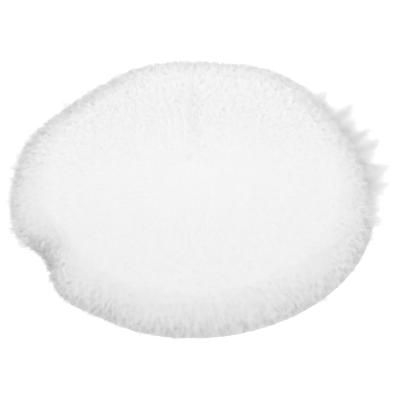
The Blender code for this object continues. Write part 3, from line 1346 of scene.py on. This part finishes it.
    def stray_hairs(self) -> Hairs:
        """Makes the fine single hairs that lie out past the rim.

        Returns:
            The hairs.
        """
        habit = self.stray_habit
        count = habit.count
        quiet = self.draw.uniform(0, 360, count)
        front = self.draw.normal(*habit.front, count)
        at_front = self.draw.uniform(0, 1, count) < habit.front_share
        azimuth = np.radians(np.where(at_front, front, quiet))
        radius = self.plan.cloth_radius - self.draw.uniform(*habit.roots, count)
        base = np.full(count, self.plan.ground_top)
        roots = np.stack([radius * np.cos(azimuth), radius * np.sin(azimuth), base], axis=1)
        reach = self.shape.reach + self.shape.change(np.degrees(azimuth))
        reach = reach + self.draw.uniform(*habit.reach, count)
        swing = azimuth + self.draw.normal(size=count) * habit.swing
        height = self.draw.uniform(*habit.height, count)
        tips = np.stack([reach * np.cos(swing), reach * np.sin(swing), height], axis=1)
        facing = self.outward(tips, habit.facing_up)
        width = self.hair_width * habit.fineness
        return self.hairs(roots, tips, facing, habit.lift, width, self.rim_softness)

    def build(self, finishes: Finishes) -> list[bpy.types.Object]:
        """Makes the pile's pieces: sectors on the main part, and one piece on each flap.

        Args:
            finishes: the skirt's finishes.

        Returns:
            The pieces.
        """
        every = Hairs.joined([self.tufts(), self.lock_hairs(), self.stray_hairs()])
        x, y = every.paths[:, 0, 0], every.paths[:, 0, 1]
        on_flap = {side: self.plan.on_flap(side, x, y) for side in Side}
        on_main = ~(on_flap[Side.OVERLAP] | on_flap[Side.UNDERLAP])
        turn = (np.arctan2(y, x) - pi / 2) % (2 * pi)
        edges = np.quantile(turn[on_main], np.arange(1, self.sectors) / self.sectors)
        sector = np.searchsorted(edges, turn)
        pieces = []
        for number in range(self.sectors):
            chosen = every.chosen(on_main & (sector == number))
            piece = chosen.build(f"fur_sector_{number + 1}")
            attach(piece, "main")
            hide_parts("fur_pile")
            pieces.append(piece)
        for side in Side:
            piece = every.chosen(on_flap[side]).build(f"fur_{side.word}")
            self.plan.folds[side].bend(piece, side.body)
            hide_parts(f"{side.word}_pile")
            pieces.append(piece)
        for piece in pieces:
            finishes.dress(piece, "fur")
            report(piece)
        return pieces


# ---------------------------------------------------------------- cloth


@dataclass
class BendingCloth:
    """A flap's layer of cloth, divided into strips beside its fold line."""

    plan: SkirtPlan
    side: Side
    node: str
    finish: str
    strips: int = 16
    meet: float = 0.00035
    same_place: float = 1e-6
    sharp_angle: float = 38.0

    def build(self, finishes: Finishes) -> bpy.types.Object:
        """Makes the piece that stands for the flap's node.

        Args:
            finishes: the skirt's finishes.

        Returns:
            The piece.
        """
        fold = self.plan.folds[self.side]
        bm = bmesh.new()
        bm.from_mesh(frame["nodes"][self.node].data)
        bmesh.ops.remove_doubles(bm, verts=bm.verts, dist=self.same_place)
        normal = Vector((*fold.outward, 0.0))
        for k in range(1, self.strips + 1):
            divide(bm, fold.point(BEND_DEPTH * k / self.strips), normal)
        for vertex in bm.verts:
            if fold.depth(vertex.co.x, vertex.co.y) < self.meet:
                vertex.co += normal * self.meet
        piece = from_bmesh(f"{self.node}_cloth", bm)
        piece.data.set_sharp_from_angle(angle=radians(self.sharp_angle))
        finishes.dress(piece, self.finish)
        fold.bend(piece, self.side.body)
        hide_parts(self.node)
        report(piece)
        return piece


# ---------------------------------------------------------------- fastening and sewing


@dataclass
class TouchFastener:
    """The hooks under one patch of the overlap, and the loops on the placket's patch below it."""

    number: int
    corner: float = 3.0 * MM
    margin: float = 0.8 * MM
    hook_pitch: float = 1.5 * MM
    hook_height: float = 0.95 * MM
    hook_radius: float = 0.13 * MM
    hook_bend: float = 0.3
    hook_turn: float = 1.15
    hook_levels: int = 5
    loop_pitch: float = 1.05 * MM
    loop_height: float = 0.55 * MM
    loop_span: float = 0.85 * MM
    loop_radius: float = 0.055 * MM
    loop_sizes: tuple[float, float] = (0.7, 1.15)
    loop_shift: float = 0.45
    loop_levels: int = 6
    loop_seed: int = 100
    root: float = 0.15 * MM

    def spots(self, node: str, pitch: float, shift: float) -> np.ndarray:
        """Places on a patch, in rows, inside its margin and its round corners.

        Args:
            node: the patch's node.
            pitch: the space between the places.
            shift: how far each place is moved by chance, as a share of the pitch.

        Returns:
            The places' X and Y coordinates.
        """
        low, high = (np.array(corner)[:2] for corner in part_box(node))
        across = np.arange(low[0] + self.margin, high[0] - self.margin, pitch)
        along = np.arange(low[1] + self.margin, high[1] - self.margin, pitch)
        x, y = (values.ravel() for values in np.meshgrid(across, along))
        draw = np.random.default_rng(self.number)
        spots = np.stack([x, y], axis=1) + draw.uniform(-shift, shift, (len(x), 2)) * pitch
        past = np.abs(spots - (low + high) / 2) - ((high - low) / 2 - self.corner)
        return spots[np.hypot(*np.maximum(past, 0.0).T) < self.corner - self.margin / 2]

    def hooks(self) -> bpy.types.Object:
        """Makes the hooks, which stand down from the overlap's patch and curl at their ends.

        Returns:
            The object.
        """
        node = f"hook_patch_{self.number}"
        spots = self.spots(node, self.hook_pitch, 0.0)
        rows = np.round((spots[:, 1] - spots[0, 1]) / self.hook_pitch).astype(int)
        way = np.where(rows % 2 == 0, 1.0, -1.0)
        turns = np.linspace(0.0, self.hook_turn * pi, self.hook_levels)
        bend = self.hook_height * self.hook_bend
        stem = self.hook_height - bend
        out = np.concatenate([[0.0, 0.0], bend * (1 - np.cos(turns))])
        down = np.concatenate([[-self.root, 0.3 * stem], stem + bend * np.sin(turns)])
        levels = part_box(node)[0].z - down
        x = spots[:, 0, None] + way[:, None] * out[None]
        y = np.broadcast_to(spots[:, 1, None], x.shape)
        paths = np.stack([x, y, np.broadcast_to(levels, x.shape)], axis=-1)
        radii = np.full(len(out) - 2, self.hook_radius)
        facing = np.tile([0.0, 1.0, 0.0], (len(spots), 1))
        return lofted(f"hooks_{self.number}", paths, radii, facing, 4)

    def loops(self) -> bpy.types.Object:
        """Makes the fine loops, which stand up from the placket's patch at every angle.

        Returns:
            The object.
        """
        node = f"loop_patch_{self.number}"
        spots = self.spots(node, self.loop_pitch, self.loop_shift)
        draw = np.random.default_rng(self.loop_seed + self.number)
        turn = draw.uniform(0, pi, len(spots))[:, None]
        size = draw.uniform(*self.loop_sizes, len(spots))[:, None]
        share = np.linspace(-1.0, 1.0, self.loop_levels)[None]
        away = 0.5 * self.loop_span * size * share
        arch = (self.loop_height + self.root) * size * (1 - share**2)
        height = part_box(node)[1].z - self.root + arch
        x = spots[:, 0, None] + away * np.cos(turn)
        y = spots[:, 1, None] + away * np.sin(turn)
        paths = np.stack([x, y, height], axis=-1)
        radii = np.full(self.loop_levels - 2, self.loop_radius)
        facing = np.concatenate([-np.sin(turn), np.cos(turn), 0 * turn], axis=1)
        return lofted(f"loops_{self.number}", paths, radii, facing, 3)

    def build(self, finishes: Finishes) -> None:
        """Makes and dresses the hooks and the loops.

        Args:
            finishes: the skirt's finishes.
        """
        pairs = ((self.hooks(), Side.OVERLAP, "hooks"), (self.loops(), Side.UNDERLAP, "loops"))
        for piece, side, finish in pairs:
            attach(piece, side.body)
            finishes.dress(piece, finish)
            report(piece)


@dataclass
class Sewing:
    """The lines of stitches that hold the tapes, the patches, the placket and the label."""

    plan: SkirtPlan
    length: float = 3.0 * MM
    gap: float = 0.9 * MM
    radius: float = 0.17 * MM
    rise: float = 0.10 * MM
    sunk_end: float = 0.6
    thickness: tuple[float, ...] = (0.85, 1.0, 1.0, 0.85)
    inset: float = 1.8 * MM
    patch_inset: float = 0.7
    placket_inset: float = 0.6
    patch_sinking: float = 0.3 * MM
    hem_tape: float = 0.013
    arc_points: int = 1441

    def stitches(
        self, name: str, runs: list[np.ndarray], height: float, up: float
    ) -> bpy.types.Object:
        """Makes stitches along lines on a level face.

        Args:
            name: the object's name.
            runs: lines, each as rows of X and Y coordinates.
            height: the face's height.
            up: 1 where the face looks up, and -1 where it looks down.

        Returns:
            The object.
        """
        starts, ends = [], []
        for run in runs:
            steps = np.hypot(*np.diff(run, axis=0).T)
            along = np.concatenate([[0.0], np.cumsum(steps)])
            first = np.arange(0.0, along[-1] - self.length, self.length + self.gap)
            for places, found in ((first, starts), (first + self.length, ends)):
                x, y = (np.interp(places, along, run[:, k]) for k in range(2))
                found.append(np.stack([x, y], axis=1))
        start, end = np.concatenate(starts), np.concatenate(ends)
        share = np.linspace(0.0, 1.0, len(self.thickness) + 2)
        flat = start[:, None] + (end - start)[:, None] * share[None, :, None]
        sinking = self.sunk_end * self.radius * (share * (1 - share) == 0)
        rise = height + up * (self.rise * np.sin(pi * share) - sinking)
        levels = np.broadcast_to(rise[None, :, None], (*flat.shape[:2], 1))
        paths = np.concatenate([flat, levels], axis=2)
        radii = self.radius * np.array(self.thickness)
        facing = np.tile([0.0, 0.0, 1.0], (len(paths), 1))
        return lofted(name, paths, radii, facing, 5)

    def border(self, node: str, inset: float) -> np.ndarray:
        """Works out the closed line inside the edges of a straight node.

        Args:
            node: the node.
            inset: how far inside its edges the line runs.

        Returns:
            The line, as rows of X and Y coordinates.
        """
        low, high = (np.array(corner)[:2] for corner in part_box(node))
        low, high = low + inset, high - inset
        return np.array([low, (high[0], low[1]), high, (low[0], high[1]), low])

    def label_border(self) -> np.ndarray:
        """Works out the closed line inside the edges of the label.

        Returns:
            The line, as rows of X and Y coordinates.
        """
        centre, across, outward, half = label_place()
        half = half - self.inset
        corners = ((1, 1), (-1, 1), (-1, -1), (1, -1), (1, 1))
        return np.array([centre + a * half[0] * across + b * half[1] * outward for a, b in corners])

    def arcs(self, radius: float, side: Side | None) -> list[np.ndarray]:
        """Works out the stretches of a circle that lie on one body, clear of the placket.

        Args:
            radius: the circle's radius, round the middle of the skirt.
            side: the flap, or None for the main body.

        Returns:
            The stretches, each as rows of X and Y coordinates.
        """
        turns = pi / 2 + np.linspace(0.0, 2 * pi, self.arc_points)
        x, y = radius * np.cos(turns), radius * np.sin(turns)
        on_flaps = {each: self.plan.on_flap(each, x, y) for each in Side}
        here = on_flaps[side] if side else ~(on_flaps[Side.OVERLAP] | on_flaps[Side.UNDERLAP])
        placket_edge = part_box("placket")[0].x - self.inset
        felt_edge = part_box("overlap_felt")[0].x + self.inset
        clear = (x < placket_edge) | (x > felt_edge) | (y < 0)
        kept = np.flatnonzero(here & clear)
        runs = np.split(kept, np.flatnonzero(np.diff(kept) > 1) + 1)
        return [np.stack([x[run], y[run]], axis=1) for run in runs if len(run) > 2]

    def finish_piece(self, piece: bpy.types.Object, finishes: Finishes, slot: str) -> None:
        """Dresses a piece in thread and reports it."""
        finishes.dress(piece, "thread", slot)
        report(piece)

    def build(self, finishes: Finishes) -> None:
        """Makes every line of stitches.

        Args:
            finishes: the skirt's finishes.
        """
        hem_line = self.plan.cloth_radius - self.hem_tape + self.inset
        hole_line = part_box("hole_tape")[1].x - self.inset
        for side in (None, *Side):
            word = side.word if side else "main"
            runs = self.arcs(hem_line, side) + self.arcs(hole_line, side)
            piece = self.stitches(f"{word}_binding_stitches", runs, 0.0, -1.0)
            if side:
                self.plan.folds[side].bend(piece, side.body)
            else:
                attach(piece, "main")
            self.finish_piece(piece, finishes, "tape")
        tape_low, tape_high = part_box("slit_tape")
        placket_low, placket_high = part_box("placket")
        tape_lines = [
            np.array([[x, tape_low.y + self.inset], [x, tape_high.y - 2 * self.inset]])
            for x in (tape_low.x + self.inset, tape_high.x - self.inset)
        ]
        placket_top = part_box("loop_patch_1")[0].z - self.patch_sinking
        placket_x = placket_high.x - self.placket_inset * self.inset
        placket_line = np.array([
            [placket_x, placket_low.y + self.inset],
            [placket_x, placket_high.y - 3 * self.inset],
        ])
        patch_inset = self.patch_inset * self.inset
        hook_runs = [self.border(f"hook_patch_{k}", patch_inset) for k in PATCHES]
        loop_runs = [self.border(f"loop_patch_{k}", patch_inset) for k in PATCHES]
        lines = (
            ("slit_tape_stitches", tape_lines, tape_low.z, -1.0, Side.OVERLAP.body, "tape"),
            ("placket_stitches", [placket_line], placket_top, 1.0, Side.UNDERLAP.body, "tape"),
            ("hook_patch_stitches", hook_runs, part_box("hook_patch_1")[0].z, -1.0,
             Side.OVERLAP.body, "hooks"),
            ("loop_patch_stitches", loop_runs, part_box("loop_patch_1")[1].z, 1.0,
             Side.UNDERLAP.body, "loops"),
            ("label_stitches", [self.label_border()], 0.0, -1.0, "main", "label"),
        )
        for name, runs, height, up, body, slot in lines:
            piece = self.stitches(name, runs, height, up)
            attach(piece, body)
            self.finish_piece(piece, finishes, slot)


def label_place() -> tuple[np.ndarray, np.ndarray, np.ndarray, np.ndarray]:
    """Works out how the label lies from its box. Its long side runs across its radius.

    Returns:
        Its centre, the directions of its long and its short side, and half of each side.
    """
    low, high = (np.array(corner)[:2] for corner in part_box("care_label"))
    centre = (low + high) / 2
    outward = unit(centre)
    across = np.array([-outward[1], outward[0]])
    half = np.linalg.solve(np.abs(np.stack([across, outward], axis=1)), (high - low) / 2)
    return centre, across, outward, half


# ---------------------------------------------------------------- studio


@dataclass(frozen=True)
class Studio:
    """A pale floor, soft light from above and the camera."""

    aim: tuple[float, float, float] = (0.0146, -0.025, 0.0)
    elevation: float = 47.5
    lens: float = 135.0
    distance: float = 3.06
    floor_side: float = 9.0
    floor_glow: float = 0.85
    floor_level: float = -0.4 * MM
    paper_tone: float = 0.45
    world_strength: float = 0.48
    lamp_power: float = 34.5
    lamp_size: float = 2.4
    lamp_back: float = 0.5
    lamp_height: float = 2.4
    light_bounces: int = 24

    def build(self) -> None:
        """Sets out the studio."""
        scene = bpy.context.scene
        scene.view_settings.view_transform = "Standard"
        scene.cycles.max_bounces = self.light_bounces
        scene.cycles.diffuse_bounces = self.light_bounces
        world = bpy.data.worlds.new("studio")
        scene.world = world
        world.use_nodes = True
        sky = world.node_tree.nodes["Background"].inputs
        sky["Color"].default_value = (1.0, 1.0, 1.0, 1.0)
        sky["Strength"].default_value = self.world_strength
        self.add_floor()
        self.add_lamp()
        self.add_camera()

    def add_floor(self) -> None:
        """Lays the floor just under the skirt."""
        half, level = self.floor_side / 2, self.floor_level
        signs = ((-1, -1), (1, -1), (1, 1), (-1, 1))
        corners = np.array([[sx * half, sy * half, level] for sx, sy in signs])
        floor = make_object("floor", corners, np.array([[0, 1, 2, 3]]), np.empty((0, 3), int))
        graph = Graph("floor_paper")
        graph.shade(Base_Color=(*[self.paper_tone] * 3, 1.0), Roughness=0.9)
        graph.shade(Emission_Color=(1.0, 1.0, 1.0, 1.0), Emission_Strength=self.floor_glow)
        floor.data.materials.append(graph.material)

    def add_lamp(self) -> None:
        """Hangs a large soft lamp overhead, a little behind the skirt."""
        lamp = bpy.data.lights.new("overhead_softbox", "AREA")
        lamp.shape = "DISK"
        lamp.size = self.lamp_size
        lamp.energy = self.lamp_power
        obj = bpy.data.objects.new("overhead_softbox", lamp)
        obj.location = (0.0, self.lamp_back, self.lamp_height)
        obj.rotation_euler = (-atan2(self.lamp_back, self.lamp_height), 0.0, 0.0)
        bpy.context.scene.collection.objects.link(obj)

    def add_camera(self) -> None:
        """Sets up the camera, which looks along +Y and down."""
        data = bpy.data.cameras.new("camera")
        data.lens = self.lens
        camera = bpy.data.objects.new("camera", data)
        tilt = radians(self.elevation)
        back = Vector((0.0, -cos(tilt), sin(tilt)))
        camera.location = Vector(self.aim) + back * self.distance
        camera.rotation_euler = (pi / 2 - tilt, 0.0, 0.0)
        bpy.context.scene.collection.objects.link(camera)
        bpy.context.scene.camera = camera


RIM_FEATURES = (
    RimFeature("deep notch at the front left", 213.0, 10.0, -0.037),
    RimFeature("flat front", 285.0, 40.0, -0.001),
    RimFeature("flat at the front left", 242.0, 9.0, -0.006),
    RimFeature("hollow behind the locks", 6.0, 26.0, -0.014),
    RimFeature("full back right", 64.0, 17.0, 0.019),
    RimFeature("flat at the back left", 134.0, 20.0, -0.022),
    RimFeature("full back", 104.0, 14.0, 0.010),
    RimFeature("hollow at the left", 180.0, 18.0, -0.011),
)

LOCKS = (
    Lock(azimuth=41.0, reach=0.412, height=0.040, half_width=4.0, hairs=260, sweep=2.0),
    Lock(azimuth=28.0, reach=0.436, height=0.036, half_width=7.0, hairs=640, sweep=6.0),
    Lock(azimuth=19.0, reach=0.434, height=0.030, half_width=6.0, hairs=480, sweep=4.0),
    Lock(azimuth=12.0, reach=0.432, height=0.026, half_width=7.5, hairs=680, sweep=6.5),
    Lock(azimuth=5.0, reach=0.432, height=0.020, half_width=6.5, hairs=560, sweep=2.5),
    Lock(azimuth=356.0, reach=0.420, height=0.014, half_width=7.0, hairs=560, sweep=6.0),
    Lock(azimuth=345.0, reach=0.402, height=0.008, half_width=4.0, hairs=260, sweep=3.0),
    Lock(azimuth=177.0, reach=0.404, height=0.014, half_width=1.5, hairs=90, sweep=-1.0),
    Lock(azimuth=266.0, reach=0.416, height=0.003, half_width=2.4, hairs=150, sweep=-1.0),
    Lock(azimuth=312.0, reach=0.416, height=0.003, half_width=2.0, hairs=120, sweep=-1.0),
)

FRINGES = (
    Fringe(-18.0, 48.0, locks=60, reach=0.403, spread=0.011, height=0.022, hairs_each=110),
    Fringe(48.0, 155.0, locks=60, reach=0.393, spread=0.006, height=0.034, hairs_each=60),
    Fringe(155.0, 206.0, locks=44, reach=0.396, spread=0.008, height=0.016, hairs_each=80),
    Fringe(222.0, 258.0, locks=30, reach=0.391, spread=0.008, height=0.008, hairs_each=70),
    Fringe(258.0, 342.0, locks=64, reach=0.394, spread=0.007, height=0.006, hairs_each=70),
)

CARRIED_OVER = {
    "felt_backing": "felt",
    "ground_fabric": "knit",
    "hem_tape": "tape",
    "hole_tape": "tape",
    "slit_tape": "tape",
    "placket": "tape",
    "care_label": "label",
}


def main() -> None:
    """Builds the skirt's looks in order."""
    logging.basicConfig(level=logging.INFO, format="%(name)s: %(message)s")
    plan = SkirtPlan.of_frame()
    finishes = Finishes().build()
    Studio().build()
    shape = PileShape(plan, features=RIM_FEATURES)
    Underfur(plan, shape).build(finishes)
    FurCoat(plan, shape, LOCKS, FRINGES).build(finishes)
    layers = {"felt": "felt", "ground": "knit", "hem_tape": "tape", "hole_tape": "tape"}
    for side in Side:
        for layer, finish in layers.items():
            piece = BendingCloth(plan, side, f"{side.word}_{layer}", finish).build(finishes)
    for node, finish in CARRIED_OVER.items():
        finishes.dress(frame["nodes"][node], finish)
    Sewing(plan).build(finishes)
    for number in PATCHES:
        TouchFastener(number).build(finishes)
        finishes.dress(frame["nodes"][f"hook_patch_{number}"], "hooks")
        finishes.dress(frame["nodes"][f"loop_patch_{number}"], "loops")


if __name__ == "__main__":
    main()
